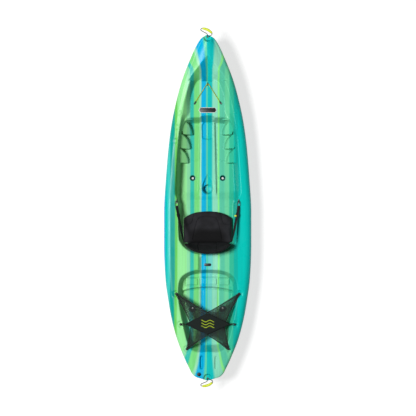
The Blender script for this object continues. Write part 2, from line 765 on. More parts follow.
def cup_holder():
    top = FOOTWELL_Z + CONSOLE_RISE
    spoon_tip = CUP_Y + SPOON_LENGTH
    arc = [(SPOON_RADIUS * math.cos(a), CUP_Y + SPOON_RADIUS * math.sin(a))
           for a in [math.radians(d) for d in (20, -10, -40, -65, -90)]]
    arc[-1] = (0.0, CUP_Y - SPOON_RADIUS)
    mouth = both_sides([(0.0, spoon_tip), (0.022, CUP_Y + SPOON_LENGTH * 0.62),
                        (0.038, CUP_Y + SPOON_LENGTH * 0.34), *arc])

    def spoon_z(x, y):
        share = min(max((spoon_tip - y) / (SPOON_LENGTH - 0.02), 0.0), 1.0)
        return top - 0.001 - SPOON_DEPTH * share

    recess("cup_spoon", grown(mouth, -0.005), spoon_z, grown(mouth, 0.03), top + 0.08)
    floor = circle(0.0, CUP_Y, CUP_RADIUS - 0.003)
    recess("cup", floor, top - CUP_DEPTH, circle(0.0, CUP_Y, CUP_RADIUS), top)


def small_recesses():
    """The heel slot, the stern's flutes, the tips' pockets and the anchors' pockets."""
    top = FOOTWELL_Z + CONSOLE_RISE
    front = STEP_Y - STEP_RUN + 0.004
    slot = rounded(both_sides([(0.0, front), (HEEL_SLOT_HALF, front),
                               (HEEL_SLOT_HALF, front - HEEL_SLOT_LENGTH + 0.01),
                               (0.0, front - HEEL_SLOT_LENGTH)]), 0.02)
    recess("heel_slot", grown(slot, -0.004), top - HEEL_SLOT_DEPTH, grown(slot, 0.01), top + 0.03)
    flute_y = -HALF_LENGTH + STERN_DECK - 0.078
    for side in (-1, 1):
        x = side * 0.064
        flute = rounded([(x - 0.008, flute_y + 0.052), (x + 0.008, flute_y + 0.052),
                         (x + 0.006, flute_y - 0.052), (x - 0.006, flute_y - 0.052)], 0.006)
        recess(f"flute_{side}", grown(flute, -0.004), skin_z(0.064, flute_y) - 0.008,
               grown(flute, 0.02), ABOVE)
    for side in (-1, 1):
        hole_y = side * (HALF_LENGTH - TIP_HOLE_INSET)
        r = TIP_POCKET_RADIUS
        arc = [(r * math.sin(a), hole_y - side * r * math.cos(a))
               for a in [math.radians(d) for d in range(0, 91, 18)]]
        arc += [(r, side * (HALF_LENGTH + 0.04)), (0.0, side * (HALF_LENGTH + 0.04))]
        pocket = both_sides(arc if side < 0 else list(reversed(arc)))
        name = "bow_pocket" if side > 0 else "stern_pocket"
        recess(name, pocket, tip_floor_z(side), grown(pocket, 0.05), ABOVE)
    for name, (x, y) in POSTS.items():
        for side in (-1, 1):
            pocket = circle(side * x, y, POCKET_RADIUS, 12)
            recess(f"pocket_{name}_{side}", pocket, pocket_floor_z(name), grown(pocket, 0.03), ABOVE)


def tip_floor_z(side):
    return crest_z(side * HALF_LENGTH) - TIP_POCKET_DEPTH


def pocket_floor_z(name):
    x, y = POSTS[name]
    return skin_z(x, y) - POCKET_DEPTH


def plug_seat_z():
    """Flat floor of the drain plug's counterbore."""
    y = -HALF_LENGTH + PLUG_INSET
    return skin_z(PLUG_X, y) - PLUG_FLANGE_THICKNESS - 0.001


def hole(name, x, y, radius, low, high, sides=ROUND_SIDES):
    return loft(name, [at(circle(x, y, radius, sides), low), at(circle(x, y, radius, sides), high)],
                "through holes")


def through_holes():
    """Holes through the deck, the hull or both."""
    for side in (-1, 1):
        hole(f"tip_hole_{side}", 0.0, side * (HALF_LENGTH - TIP_HOLE_INSET), TIP_HOLE_RADIUS, 0.0, ABOVE)
        for y in (SCUPPER_FRONT_Y, SCUPPER_REAR_Y):
            x = side * SCUPPER_X
            hole(f"scupper_deck_{side}_{y}", x, y, SCUPPER_MOUTH + SCUPPER_WALL + GAP, 0.06, ABOVE, SCUPPER_SIDES)
            hole(f"scupper_hull_{side}_{y}", x, y, SCUPPER_BORE + SCUPPER_WALL + GAP, -0.05, 0.059, SCUPPER_SIDES)
    y = -HALF_LENGTH + PLUG_INSET
    hole("plug_seat", PLUG_X, y, PLUG_FLANGE_RADIUS + 0.001, plug_seat_z(), ABOVE)
    hole("plug_hole", PLUG_X, y, PLUG_BARREL_RADIUS + GAP, plug_seat_z() - 0.02, ABOVE)
    for name, (x, y) in POSTS.items():
        for side in (-1, 1):
            hole(f"post_hole_{name}_{side}", side * x, y, POST_SHANK_RADIUS + GAP, crest_z(y) - 0.04,
                 ABOVE, SMALL_SIDES)
    for side in (-1, 1):
        for along in (-0.5, 0.5):
            y = PADEYE_Y + along * PADEYE_SCREW_SPACING
            hole(f"padeye_hole_{side}_{along}", side * PADEYE_X, y, SCREW_SHANK_RADIUS + GAP,
                 crest_z(y) - 0.03, ABOVE, SMALL_SIDES)
        x, y = bungee_end(side, 0.5)
        hole(f"bungee_hole_{side}", x, y, SCREW_SHANK_RADIUS + GAP, PLATFORM_Z - 0.03, ABOVE, SMALL_SIDES)


def deck_shell(finish):
    deck_blank("under_skin", SHEET / 2, SHEET / 2, "well cores", lambda y: -0.05)
    bow_ramp()
    cockpit()
    footwell()
    braces()
    seat_well()
    rear_channel()
    tank_well()
    cup_holder()
    small_recesses()
    through_holes()
    deck = deck_blank("deck_shell", 0.0, 0.0, "kayak", lip_z, finish)
    deck_blank("skin_hollow", SHEET, TIP_SOLID, "deck cuts", lambda y: lip_z(y) - 0.04)
    seam_rebate("seam_rebate")
    boolean(deck, "DIFFERENCE", "deck cuts")
    boolean(deck, "UNION", "well walls")
    boolean(deck, "DIFFERENCE", "well insides")
    boolean(deck, "DIFFERENCE", "through holes")
    return deck


# Hull

def hull_vee(y):
    return VEE_AT_TIPS * min(max(abs(y) / HALF_LENGTH - 0.55, 0.0) / 0.3, 1.0)


def bottom_rise(x, y, inset):
    """How far the bottom has risen from the keel line at x, leaving out its arches."""
    beam = half_beam(y) - SHEET - GAP - inset
    return hull_vee(y) * 0.5 * (lip_z(y) - keel_z(y)) * x / beam


def hull_ring(y, inset, top):
    """One closed section of the hull: keel strip, arches, rails, chines and sides."""
    beam = half_beam(y) - SHEET - GAP - inset
    scale = beam / (HALF_BEAM - SHEET - GAP - inset)
    keel = keel_z(y) + inset
    height = lip_z(y) - keel_z(y)
    bottom = [(KEEL_HALF, 0.0), ((KEEL_HALF + RAIL_X - RAIL_HALF) / 2, ARCH_RISE * scale),
              (RAIL_X - RAIL_HALF, 0.0), (RAIL_X + RAIL_HALF, 0.0)]
    side = [(x * scale, keel + lift + bottom_rise(x * scale, y, inset)) for x, lift in bottom]
    for across, up in ((0.80, 0.20), (0.93, 0.50), (0.985, 0.80)):
        side.append((beam * across, keel + height * max(up, hull_vee(y) * up * 1.2)))
    side += [(beam, lip_z(y) - 0.004), (beam, top)]
    starboard = list(reversed(side))
    return ([(x, y, z) for x, z in starboard] + [(0.0, y, keel)] + [(-x, y, z) for x, z in side])


def hull_shell(finish):
    reach = HALF_LENGTH - SHEET - GAP + 1e-7
    rings = [hull_ring(y, 0.0, lip_z(y) + LAP - GAP) for y in ROWS if abs(y) <= reach]
    hull = loft("hull_shell", rings, "kayak", finish)
    inner = HALF_LENGTH - TIP_SOLID + 1e-7
    rings = [hull_ring(y, SHEET, lip_z(y) + LAP + 0.03) for y in ROWS if abs(y) <= inner]
    boolean(hull, "DIFFERENCE", loft("hull_hollow", rings, "hull cuts"))
    boolean(hull, "DIFFERENCE", "through holes")
    return hull


def scupper_tubes(finish):
    r, w = SCUPPER_BORE, SCUPPER_WALL
    for place, y, floor in (("front", SCUPPER_FRONT_Y, FOOTWELL_Z), ("rear", SCUPPER_REAR_Y, TANKWELL_Z)):
        top = GAP + SCUPPER_FLANGE_THICKNESS
        bottom = ARCH_RISE - floor + 0.001
        profile = [(SCUPPER_MOUTH + w + SCUPPER_FLANGE, top), (SCUPPER_MOUTH + w + SCUPPER_FLANGE, GAP),
                   (SCUPPER_MOUTH + w, GAP), (SCUPPER_MOUTH + w, -SHEET), (r + w, -SCUPPER_TAPER),
                   (r + w, bottom), (r, bottom), (r, -SCUPPER_TAPER), (SCUPPER_MOUTH, 0.0),
                   (SCUPPER_MOUTH + 0.002, top)]
        for word, side in (("port", -1), ("starboard", 1)):
            turned(f"scupper_tube_{place}_{word}", profile, (side * SCUPPER_X, y, floor), "kayak", finish,
                   SCUPPER_SIDES)


def foam_blocks(finish):
    """Foam stiffeners that stand on the keel strip and hold the deck's floors up."""
    spans = {"foam_block_bow": (0.54, 0.68, PLATFORM_Z), "foam_block_seat": (-0.12, 0.0, SEAT_FLOOR_Z),
             "foam_block_stern": (-0.67, -0.54, TANKWELL_Z)}
    for name, (rear, front, ceiling) in spans.items():
        high = ceiling - SHEET - GAP
        rings = []
        for y in ROWS:
            if rear - 1e-4 < y / HALF_LENGTH < front + 1e-4:
                half = KEEL_HALF * half_beam(y) / HALF_BEAM - SHEET
                low = keel_z(y) + SHEET + GAP
                edge = low + bottom_rise(half, y, SHEET)
                rings.append([(half, y, high), (half, y, edge), (0.0, y, low), (-half, y, edge),
                              (-half, y, high)])
        loft(name, rings, "kayak", finish)


# Fittings

def join(obj, other):
    """Adds another object's shape to this one, as one body."""
    boolean(obj, "UNION", other)
    return obj


def spun(points, centre, degrees):
    """Points turned about +Z through centre."""
    a = math.radians(degrees)
    cx, cy = centre
    return [(cx + (x - cx) * math.cos(a) - (y - cy) * math.sin(a),
             cy + (x - cx) * math.sin(a) + (y - cy) * math.cos(a)) for x, y in points]


def pill(x, y, length, width, along_y=True, steps=4):
    """An outline with round ends."""
    r, reach = width / 2, (length - width) / 2
    arc = [math.radians(90 - 180 * k / steps) for k in range(steps + 1)]
    right = [(reach + r * math.cos(a), r * math.sin(a)) for a in arc]
    loop = right + [(-u, -v) for u, v in right]
    if along_y:
        loop = [(-v, u) for u, v in loop]
    return [(x + u, y + v) for u, v in loop]


def screw(name, x, y, seat_z, finish, length=SCREW_LENGTH, tilt=0.0):
    """A pan-head screw whose head stands on seat_z."""
    head, shank = SCREW_HEAD_RADIUS, SCREW_SHANK_RADIUS
    profile = [(0.0, SCREW_HEAD_HEIGHT), (head * 0.7, SCREW_HEAD_HEIGHT * 0.85),
               (head, GAP), (shank, GAP), (shank, -length), (0.0, -length - shank)]
    return turned(name, profile, (x, y, seat_z), "kayak", finish, SMALL_SIDES)


def padeyes(black, steel):
    for word, side in (("port", -1), ("starboard", 1)):
        x = side * PADEYE_X
        loop = pill(x, PADEYE_Y, PADEYE_LENGTH, PADEYE_WIDTH)
        base = max(skin_z(px, py) for px, py in loop) + GAP
        top = base + PADEYE_BASE
        eye = loft(f"seat_padeye_{word}", [at(loop, base), at(loop, top)], "kayak", black)
        half = PADEYE_ARCH_HALF
        path = [(x, PADEYE_Y + half * math.cos(a), top - 0.001 + (half + 0.002) * math.sin(a))
                for a in [math.radians(d) for d in range(0, 181, 30)]]
        arch = as_mesh(tube(f"padeye_arch_{word}", path, PADEYE_WIRE, "fitting cuts"), "fitting cuts")
        join(eye, arch)
        for along, end in ((0.5, "fore"), (-0.5, "aft")):
            y = PADEYE_Y + along * PADEYE_SCREW_SPACING
            drill = loft(f"padeye_drill_{word}_{end}",
                         [at(circle(x, y, SCREW_SHANK_RADIUS + GAP, SMALL_SIDES), base - 0.01),
                          at(circle(x, y, SCREW_SHANK_RADIUS + GAP, SMALL_SIDES), top + 0.02)], "fitting cuts")
            boolean(eye, "DIFFERENCE", drill)
            screw(f"padeye_screw_{word}_{end}", x, y, top, steel)


def padeye_top(side):
    x = side * PADEYE_X
    return max(skin_z(px, py) for px, py in pill(x, PADEYE_Y, PADEYE_LENGTH, PADEYE_WIDTH)) + GAP + PADEYE_BASE


def hook_z(side):
    return padeye_top(side) + HOOK_WIRE + 0.0005


def snap_hooks(black):
    """A closed hook through each seat padeye's arch, which the strap's end is sewn round."""
    for word, side in (("port", -1), ("starboard", 1)):
        x, z = side * PADEYE_X, hook_z(side)
        r = HOOK_HALF_WIDTH * 0.45
        fore, aft = PADEYE_Y + HOOK_WIRE, PADEYE_Y - HOOK_LENGTH
        w = HOOK_HALF_WIDTH
        loop = [(-w + r, fore), (w - r, fore), (w, fore - r), (w, aft + r), (w - r, aft), (-w + r, aft),
                (-w, aft + r), (-w, fore - r)]
        path = [(x + u, v, z) for u, v in loop]
        tube(f"snap_hook_{word}", path, HOOK_WIRE, "kayak", black, cyclic=True)


def backrest_frame():
    """The backrest's own axes: its foot's middle, and the direction up its front face."""
    lean = math.radians(BACKREST_LEAN)
    foot = Vector((0.0, BACKREST_FOOT_Y, hinge_z()))
    return foot, Vector((0.0, -math.sin(lean), math.cos(lean))), Vector((0.0, math.cos(lean), math.sin(lean)))


def hinge_z():
    """Level of the crease between cushion and backrest: the backrest's foot lies on the cushion."""
    share = (BACKREST_FOOT_Y - CUSHION_REAR_Y) / (CUSHION_FRONT_Y - CUSHION_REAR_Y)
    return cushion_place(0.0, share)[2] + GAP


def strap_ends(side):
    """Where a seat strap starts behind its hook, and where it meets the backrest's edge."""
    foot, up, ahead = backrest_frame()
    start = Vector((side * PADEYE_X, PADEYE_Y - HOOK_LENGTH - HOOK_WIRE - GAP, hook_z(side)))
    h = STRAP_JOIN_SHARE
    edge = backrest_half(h) + STRAP_THICKNESS / 2 + GAP + 0.001
    end = foot + up * (BACKREST_HEIGHT * h) + ahead * (backrest_wrap(1.0, h) - BACKREST_EDGE * 0.6)
    end.x = side * edge
    return start, end


def straps(webbing, plastic):
    for word, side in (("port", -1), ("starboard", 1)):
        start, end = strap_ends(side)
        line = (end - start).normalized()
        flat = Vector((1.0, 0.0, 0.0))
        flat = (flat - line * flat.dot(line)).normalized()
        edge_on = line.cross(flat).normalized()
        rings = []
        for share in (0.0, 0.02, 0.06, 0.10, 0.14, 0.34, 0.56, 0.78, 1.0):
            turn = math.radians(90) * min(max((share - 0.02) / 0.12, 0.0), 1.0)
            across = flat * math.cos(turn) + edge_on * math.sin(turn) * side
            if share == 0.0:
                across = Vector((1.0, 0.0, 0.0))
            through_web = line.cross(across)
            middle = start + (end - start) * share
            w, t = across * STRAP_WIDTH / 2, through_web * STRAP_THICKNESS / 2
            rings.append([tuple(middle + w + t), tuple(middle + w - t), tuple(middle - w - t),
                          tuple(middle - w + t)])
        loft(f"seat_strap_{word}", rings, "kayak", webbing)
        across = edge_on * side
        through_web = line.cross(across)
        middle = start + (end - start) * BUCKLE_SHARE

        def box(length, width, thickness):
            return [[tuple(middle + line * along * length / 2 + across * u * width / 2
                           + through_web * v * thickness / 2)
                     for u, v in ((1, 1), (1, -1), (-1, -1), (-1, 1))] for along in (-1, 1)]

        buckle = loft(f"strap_buckle_{word}",
                      box(BUCKLE_LENGTH, STRAP_WIDTH + 2 * BUCKLE_RIM, BUCKLE_THICKNESS), "kayak", plastic)
        slot = loft(f"buckle_slot_{word}",
                    box(BUCKLE_LENGTH + 0.02, STRAP_WIDTH + 0.0012, STRAP_THICKNESS + 0.0008), "fitting cuts")
        boolean(buckle, "DIFFERENCE", slot)


def sewn(x, y, seams):
    """How deep the sewn channels press the pad in at this place, 0 to 1."""
    here = Vector((x, y))
    nearest = 1.0
    for seam in seams:
        for a, b in zip(seam, seam[1:]):
            a, b = Vector(a), Vector(b)
            along = min(max((here - a).dot(b - a) / (b - a).length_squared, 0.0), 1.0)
            nearest = min(nearest, (here - a.lerp(b, along)).length)
    return math.exp(-(nearest / CHANNEL_SEW_WIDTH) ** 2)


def pad(name, across, along, spot, finish, smooth=60.0):
    """A sewn pad from spot(u, v, level), with level 0 on its back and 1 on its face."""
    bm = bmesh.new()
    us = [math.sin(math.pi / 2 * (2 * i / across - 1) * 0.85) / math.sin(math.pi / 2 * 0.85)
          for i in range(across + 1)]
    vs = [0.5 + 0.5 * math.sin(math.pi / 2 * (2 * j / along - 1) * 0.8) / math.sin(math.pi / 2 * 0.8)
          for j in range(along + 1)]
    face = [[bm.verts.new(spot(u, v, 1.0)) for u in us] for v in vs]
    for j in range(along):
        for i in range(across):
            bm.faces.new((face[j][i], face[j][i + 1], face[j + 1][i + 1], face[j + 1][i]))
    rim = ([(i, 0) for i in range(across)] + [(across, j) for j in range(along)]
           + [(i, along) for i in range(across, 0, -1)] + [(0, j) for j in range(along, 0, -1)])
    upper = [face[j][i] for i, j in rim]
    lower = [bm.verts.new(spot(us[i], vs[j], 0.0)) for i, j in rim]
    for k in range(len(rim)):
        n = (k + 1) % len(rim)
        bm.faces.new((upper[k], lower[k], lower[n], upper[n]))
    return bm, lower


def cushion_place(u, v):
    """Place on the cushion's top at shares of its half width and of its depth, and how full it is there."""
    front = CUSHION_FRONT_Y - CUSHION_ROLL * abs(u) ** 3.2
    rear = CUSHION_REAR_Y + CUSHION_REAR_ROLL * abs(u) ** 6
    rise = math.sqrt(max((1 - abs(u) ** 5) * (1 - abs(2 * v - 1) ** 5), 0.0))
    z = SEAT_FLOOR_Z + GAP + CUSHION_EDGE + (CUSHION_THICKNESS - CUSHION_EDGE) * rise
    return CUSHION_HALF_WIDTH * u, rear + (front - rear) * v, z, rise


def cushion(cloth):
    seams = [[(-0.116, -0.20), (-0.098, -0.135), (-0.083, -0.095), (-0.060, -0.072), (0.060, -0.072),
              (0.083, -0.095), (0.098, -0.135), (0.116, -0.20)]]
    for side in (-1, 1):
        seams.append([(side * 0.118, -0.060), (side * 0.126, -0.105), (side * 0.146, -0.135),
                      (side * 0.185, -0.140)])
    middle = (CUSHION_FRONT_Y + CUSHION_REAR_Y) / 2

    def spot(u, v, level):
        x, y, z, rise = cushion_place(u, v)
        if level == 0.0:
            inset = 0.985
            return (x * inset, y * inset + (1 - inset) * middle, SEAT_FLOOR_Z + GAP)
        return (x, y, z - CHANNEL_SEW_DEPTH * rise * sewn(x, y, seams))

    bm, lower = pad("seat_cushion", 22, 14, spot, cloth)
    bm.faces.new(lower)
    return put("seat_cushion", mesh_from("seat_cushion", bm, 60.0), "kayak", cloth)


def backrest_half(h):
    """Half width of the backrest at a share of its height."""
    narrow_foot = 0.80 + 0.20 * min(h / 0.35, 1.0)
    round_top = math.sqrt(max(1 - (max(h - 0.62, 0.0) / 0.40) ** 2.6, 0.0))
    return BACKREST_HALF_WIDTH * narrow_foot * (0.42 + 0.58 * round_top)


def backrest_wrap(u, h):
    """How far the face comes forward at a share of the half width and of the height."""
    return BACKREST_WRAP * abs(u) ** 2.2 * min(h * 1.15, 1.0)


def backrest(cloth):
    seams = [[(side * 0.072, 0.02), (side * 0.080, 0.12), (side * 0.070, 0.24)] for side in (-1, 1)]
    seams.append([(-0.16, 0.150), (0.16, 0.150)])

    def spot(u, h, level):
        x = backrest_half(h) * u
        z = BACKREST_HEIGHT * h
        y = backrest_wrap(u, h) * (x / BACKREST_HALF_WIDTH / max(abs(u), 1e-6)) ** 2 if u else 0.0
        rise = math.sqrt(max((1 - abs(u) ** 4) * (1 - abs(2 * h - 1) ** 6), 0.0))
        thick = BACKREST_EDGE + (BACKREST_THICKNESS - BACKREST_EDGE) * rise
        if level == 0.0:
            return (x * 0.99, y - BACKREST_EDGE, 0.001 + z * 0.995)
        press = CHANNEL_SEW_DEPTH * rise * sewn(x, z, seams)
        return (x, y - press + 0.0, z)

    # The face, its edge, and a padded back that bulges the pad's thickness behind the face
    bm, lower = pad("seat_backrest", 18, 8, spot, cloth)
    across, along = 18, 8
    us = [math.sin(math.pi / 2 * (2 * i / across - 1) * 0.85) / math.sin(math.pi / 2 * 0.85)
          for i in range(across + 1)]
    vs = [0.5 + 0.5 * math.sin(math.pi / 2 * (2 * j / along - 1) * 0.8) / math.sin(math.pi / 2 * 0.8)
          for j in range(along + 1)]
    rim = ([(i, 0) for i in range(across)] + [(across, j) for j in range(along)]
           + [(i, along) for i in range(across, 0, -1)] + [(0, j) for j in range(along, 0, -1)])
    known = {spot_at: lower[k] for k, spot_at in enumerate(rim)}

    def back(i, j):
        if (i, j) not in known:
            u, h = us[i], vs[j]
            x, y, z = spot(u, h, 0.0)
            rise = math.sqrt(max((1 - abs(u) ** 4) * (1 - abs(2 * h - 1) ** 6), 0.0))
            known[(i, j)] = bm.verts.new((x, y - (BACKREST_THICKNESS - BACKREST_EDGE) * rise, z))
        return known[(i, j)]

    for j in range(along):
        for i in range(across):
            bm.faces.new((back(i, j + 1), back(i + 1, j + 1), back(i + 1, j), back(i, j)))
    obj = put("seat_backrest", mesh_from("seat_backrest", bm, 60.0), "kayak", cloth)
    obj.location = (0.0, BACKREST_FOOT_Y, hinge_z())
    obj.rotation_euler.x = math.radians(BACKREST_LEAN)
    return obj


def handle_axis(side):
    """The handle swings about the tip's upper edge, where its rope bends."""
    return Vector((0.0, side * HALF_LENGTH, tip_floor_z(side) + ROPE_RADIUS + 0.0006))


def handles(lime, cord):
    for word, side, twist in (("bow", 1, BOW_GRIP_TWIST), ("stern", -1, STERN_GRIP_TWIST)):
        axis = handle_axis(side)
        droop, turn = math.radians(HANDLE_DROOP), math.radians(twist)
        half = GRIP_LENGTH / 2 - GRIP_END_RADIUS * 0.5

        def hung(x, out, edge=0.004):
            """A point of the hanging loop: across, and outwards from the tip's edge."""
            if out < edge:
                return (x, axis.y + side * out, axis.z)
            return (x, axis.y + side * (edge + (out - edge) * math.cos(droop)),
                    axis.z - (out - edge) * math.sin(droop))

        def grip_point(share):
            x, out = share * half, -GRIP_BOW * share ** 2
            return hung(x * math.cos(turn) + out * math.sin(turn),
                        GRIP_REACH + out * math.cos(turn) - x * math.sin(turn))

        shares = [-1 + 2 * k / 8 for k in range(9)]
        path = [grip_point(u) for u in shares]
        radii = [GRIP_END_RADIUS * 0.8, GRIP_END_RADIUS, 0.0098, 0.0106, GRIP_RADIUS, 0.0106, 0.0098,
                 GRIP_END_RADIUS, GRIP_END_RADIUS * 0.8]
        grip = as_mesh(tube(f"{word}_handle_grip", path, 1.0, "kayak", None, 2, radii=radii), "kayak", lime)
        ends = [1.25 * Vector(path[0]) - 0.25 * Vector(path[1]), 1.25 * Vector(path[-1]) - 0.25 * Vector(path[-2])]
        bore = as_mesh(tube(f"{word}_grip_bore", [ends[0], *path, ends[1]], GRIP_BORE, "fitting cuts", None, 2),
                       "fitting cuts")
        boolean(grip, "DIFFERENCE", bore)
        # The rope: through the grip, in over the tip's edge, down the hole and round under the stem
        x0, r = 0.0037, ROPE_RADIUS
        hole_out = -TIP_HOLE_INSET
        stopper_top = keel_z(side * (HALF_LENGTH - TIP_HOLE_INSET - STOPPER_RADIUS)) - 0.0010
        low = stopper_top - STOPPER_HEIGHT - r - 0.0004
        down = [(x0, hole_out, z) for z in (axis.z - 0.0035, axis.z - 0.03, low + 0.02, low + 0.004)]
        legs = []
        for end, inner_point, sign in ((path[-1], path[-2], 1), (path[0], path[1], -1)):
            near = (sign * x0 * 1.3, axis.y + side * 0.0045, axis.z)
            end = Vector(end)
            out = (end - Vector(inner_point)).normalized()
            back = (Vector(near) - end).normalized()
            lead = [end + out * 0.0045, end + out * 0.0090 + back * 0.0012, end + out * 0.0116 + back * 0.0045,
                    end + out * 0.0118 + back * 0.0095]
            lead = [tuple(v) for v in lead] + [tuple(lead[-1].lerp(Vector(near), 0.55))]
            inner = [near, (sign * x0, axis.y - side * 0.006, axis.z),
                     (sign * x0, axis.y + side * (hole_out + 0.003), axis.z),
                     (sign * x0, axis.y + side * (hole_out + 0.0005), axis.z - 0.0012)]
            under = [(sign * x, axis.y + side * out, z) for x, out, z in down]
            legs.append(lead + inner + under)
        turn_under = [(0.0026, axis.y + side * hole_out, low), (0.0, axis.y + side * hole_out, low - 0.0014),
                      (-0.0026, axis.y + side * hole_out, low)]
        route = path + legs[0] + turn_under + list(reversed(legs[1]))
        tube(f"{word}_handle_rope", route, r, "kayak", cord, cyclic=True)
        # The stopper is a bead round both strands, under the stem
        hole_r, top, bottom = 0.0074, STOPPER_HEIGHT / 2, -STOPPER_HEIGHT / 2
        profile = [(STOPPER_RADIUS - 0.002, top), (STOPPER_RADIUS, top - 0.003), (STOPPER_RADIUS, bottom + 0.003),
                   (STOPPER_RADIUS - 0.002, bottom), (hole_r, bottom), (hole_r, top)]
        place = (0.0, axis.y + side * hole_out, stopper_top - top)
        turned(f"{word}_handle_stopper", profile, place, "kayak", cord, SMALL_SIDES)


def drain_plug(black, rubber):
    y = -HALF_LENGTH + PLUG_INSET
    z = plug_seat_z()
    place = (PLUG_X, y, z)
    bore = PLUG_STEM_RADIUS + 0.0005
    top = GAP + PLUG_FLANGE_THICKNESS
    profile = [(PLUG_FLANGE_RADIUS, top), (PLUG_FLANGE_RADIUS, GAP), (PLUG_BARREL_RADIUS, GAP),
               (PLUG_BARREL_RADIUS, -PLUG_BARREL_LENGTH), (bore, -PLUG_BARREL_LENGTH), (bore, top)]
    turned("drain_plug_seat", profile, place, "kayak", black)
    seal = top + 0.0003
    outer = PLUG_CAP_RADIUS - 0.001
    profile = [(outer, SEAL_THICKNESS), (outer, 0.0), (outer - SEAL_WIDTH, 0.0),
               (outer - SEAL_WIDTH, SEAL_THICKNESS)]
    turned("drain_plug_seal", profile, (PLUG_X, y, z + seal), "kayak", rubber)
    under = seal + SEAL_THICKNESS + 0.0003
    over = under + PLUG_CAP_THICKNESS
    profile = [(0.0, over), (PLUG_CAP_RADIUS - 0.0015, over), (PLUG_CAP_RADIUS, over - 0.0015),
               (PLUG_CAP_RADIUS, under), (PLUG_STEM_RADIUS, under), (PLUG_STEM_RADIUS, -PLUG_STEM_LENGTH),
               (0.0, -PLUG_STEM_LENGTH)]
    plug = turned("drain_plug", profile, place, "kayak", black)
    wing = pill(PLUG_X, y, PLUG_WING_LENGTH, 0.005, along_y=False)
    wing = loft("plug_wing", [at(wing, z + over - 0.001), at(grown(wing, -0.0006), z + over + PLUG_WING_HEIGHT)],
                "fitting cuts")
    join(plug, wing)


def bungee_end(side, share=0.0):
    """A place on the bungee's end fitting: 0 at its mouth and 1 at its far end."""
    apex, foot = Vector((0.0, BUNGEE_APEX_Y)), Vector((side * BUNGEE_FOOT_X, BUNGEE_FOOT_Y))
    line = (foot - apex).normalized()
    mouth = foot - line * BUNGEE_END_LENGTH
    return tuple(mouth + line * BUNGEE_END_LENGTH * share)


def bow_bungee(cord, black, steel):
    """The stretch cord over the bow's platform, its two end fittings and its guide."""
    z = PLATFORM_Z + BUNGEE_RISE
    ends = {side: Vector((*bungee_end(side, BUNGEE_SOCKET / BUNGEE_END_LENGTH - 0.01), z)) for side in (-1, 1)}
    apex = Vector((0.0, BUNGEE_APEX_Y, z))
    bend = [(-0.006, -0.012), (-0.0035, -0.0035), (0.0, 0.0), (0.0035, -0.0035), (0.006, -0.012)]
    path = [ends[-1]] + [ends[-1].lerp(apex, u) for u in (0.25, 0.5, 0.75)]
    path += [apex + Vector((x, y, 0)) for x, y in bend]
    path += [apex.lerp(ends[1], u) for u in (0.25, 0.5, 0.75)] + [ends[1]]
    tube("bow_bungee", path, BUNGEE_RADIUS, "kayak", cord)
    for word, side in (("port", -1), ("starboard", 1)):
        mouth, far = Vector(bungee_end(side)), Vector(bungee_end(side, 1.0))
        line = far - mouth
        turn = math.degrees(math.atan2(line.y, line.x))
        middle = (mouth + far) / 2
        r, low = BUNGEE_END_RADIUS, PLATFORM_Z + GAP
        shape = spun(pill(middle.x, middle.y, BUNGEE_END_LENGTH, 2 * r, along_y=False), middle, turn)
        high = z + BUNGEE_RADIUS + 0.0018
        end = loft(f"bungee_end_{word}", [at(shape, low), at(grown(shape, -0.0012), high)], "kayak", black)
        socket = [Vector((*bungee_end(side, u), z)) for u in (-0.3, BUNGEE_SOCKET / BUNGEE_END_LENGTH)]
        cut = as_mesh(tube(f"bungee_socket_{word}", socket, BUNGEE_RADIUS + 0.0004, "fitting cuts"), "fitting cuts")
        boolean(end, "DIFFERENCE", cut)
        x, y = bungee_end(side, 0.5)
        rim = circle(x, y, SCREW_SHANK_RADIUS + GAP, SMALL_SIDES)
        boolean(end, "DIFFERENCE", loft(f"bungee_drill_{word}", [at(rim, low - 0.01), at(rim, high + 0.01)],
                                        "fitting cuts"))
        screw(f"bungee_screw_{word}", x, y, high, steel, SCREW_LENGTH + 0.006)
    base = pill(0.0, BUNGEE_APEX_Y - 0.001, 0.030, 0.012)
    low = PLATFORM_Z + GAP
    guide = loft("bungee_guide", [at(base, low), at(base, low + 0.0012)], "kayak", black)
    r = 0.0085
    path = [(0.0, BUNGEE_APEX_Y - 0.001 + r * math.cos(a), low + 0.0006 + r * 1.25 * math.sin(a))
            for a in [math.radians(d) for d in range(0, 181, 30)]]
    arch = as_mesh(tube("guide_arch", path, 0.0018, "fitting cuts"), "fitting cuts")
    join(guide, arch)


# Tank-well net

def net_z(y):
    return crest_z(y) + NET_RISE


def posts(black):
    """A mushroom-headed post in each pocket, riveted through the deck."""
    for name, (x, y) in POSTS.items():
        floor = pocket_floor_z(name)
        under = net_z(y) + NET_CORD_RADIUS + 0.0008 - floor
        over = under + POST_HEAD_THICKNESS
        profile = [(0.0, over), (POST_HEAD_RADIUS - 0.001, over - 0.0004), (POST_HEAD_RADIUS, under),
                   (POST_RADIUS, under), (POST_RADIUS, 0.0022), (POST_HEAD_RADIUS, 0.0016),
                   (POST_HEAD_RADIUS, GAP), (POST_SHANK_RADIUS, GAP), (POST_SHANK_RADIUS, -0.012),
                   (0.0, -0.012)]
        for word, side in (("port", -1), ("starboard", 1)):
            turned(f"net_post_{name}_{word}", profile, (side * x, y, floor), "kayak", black, POST_SIDES)


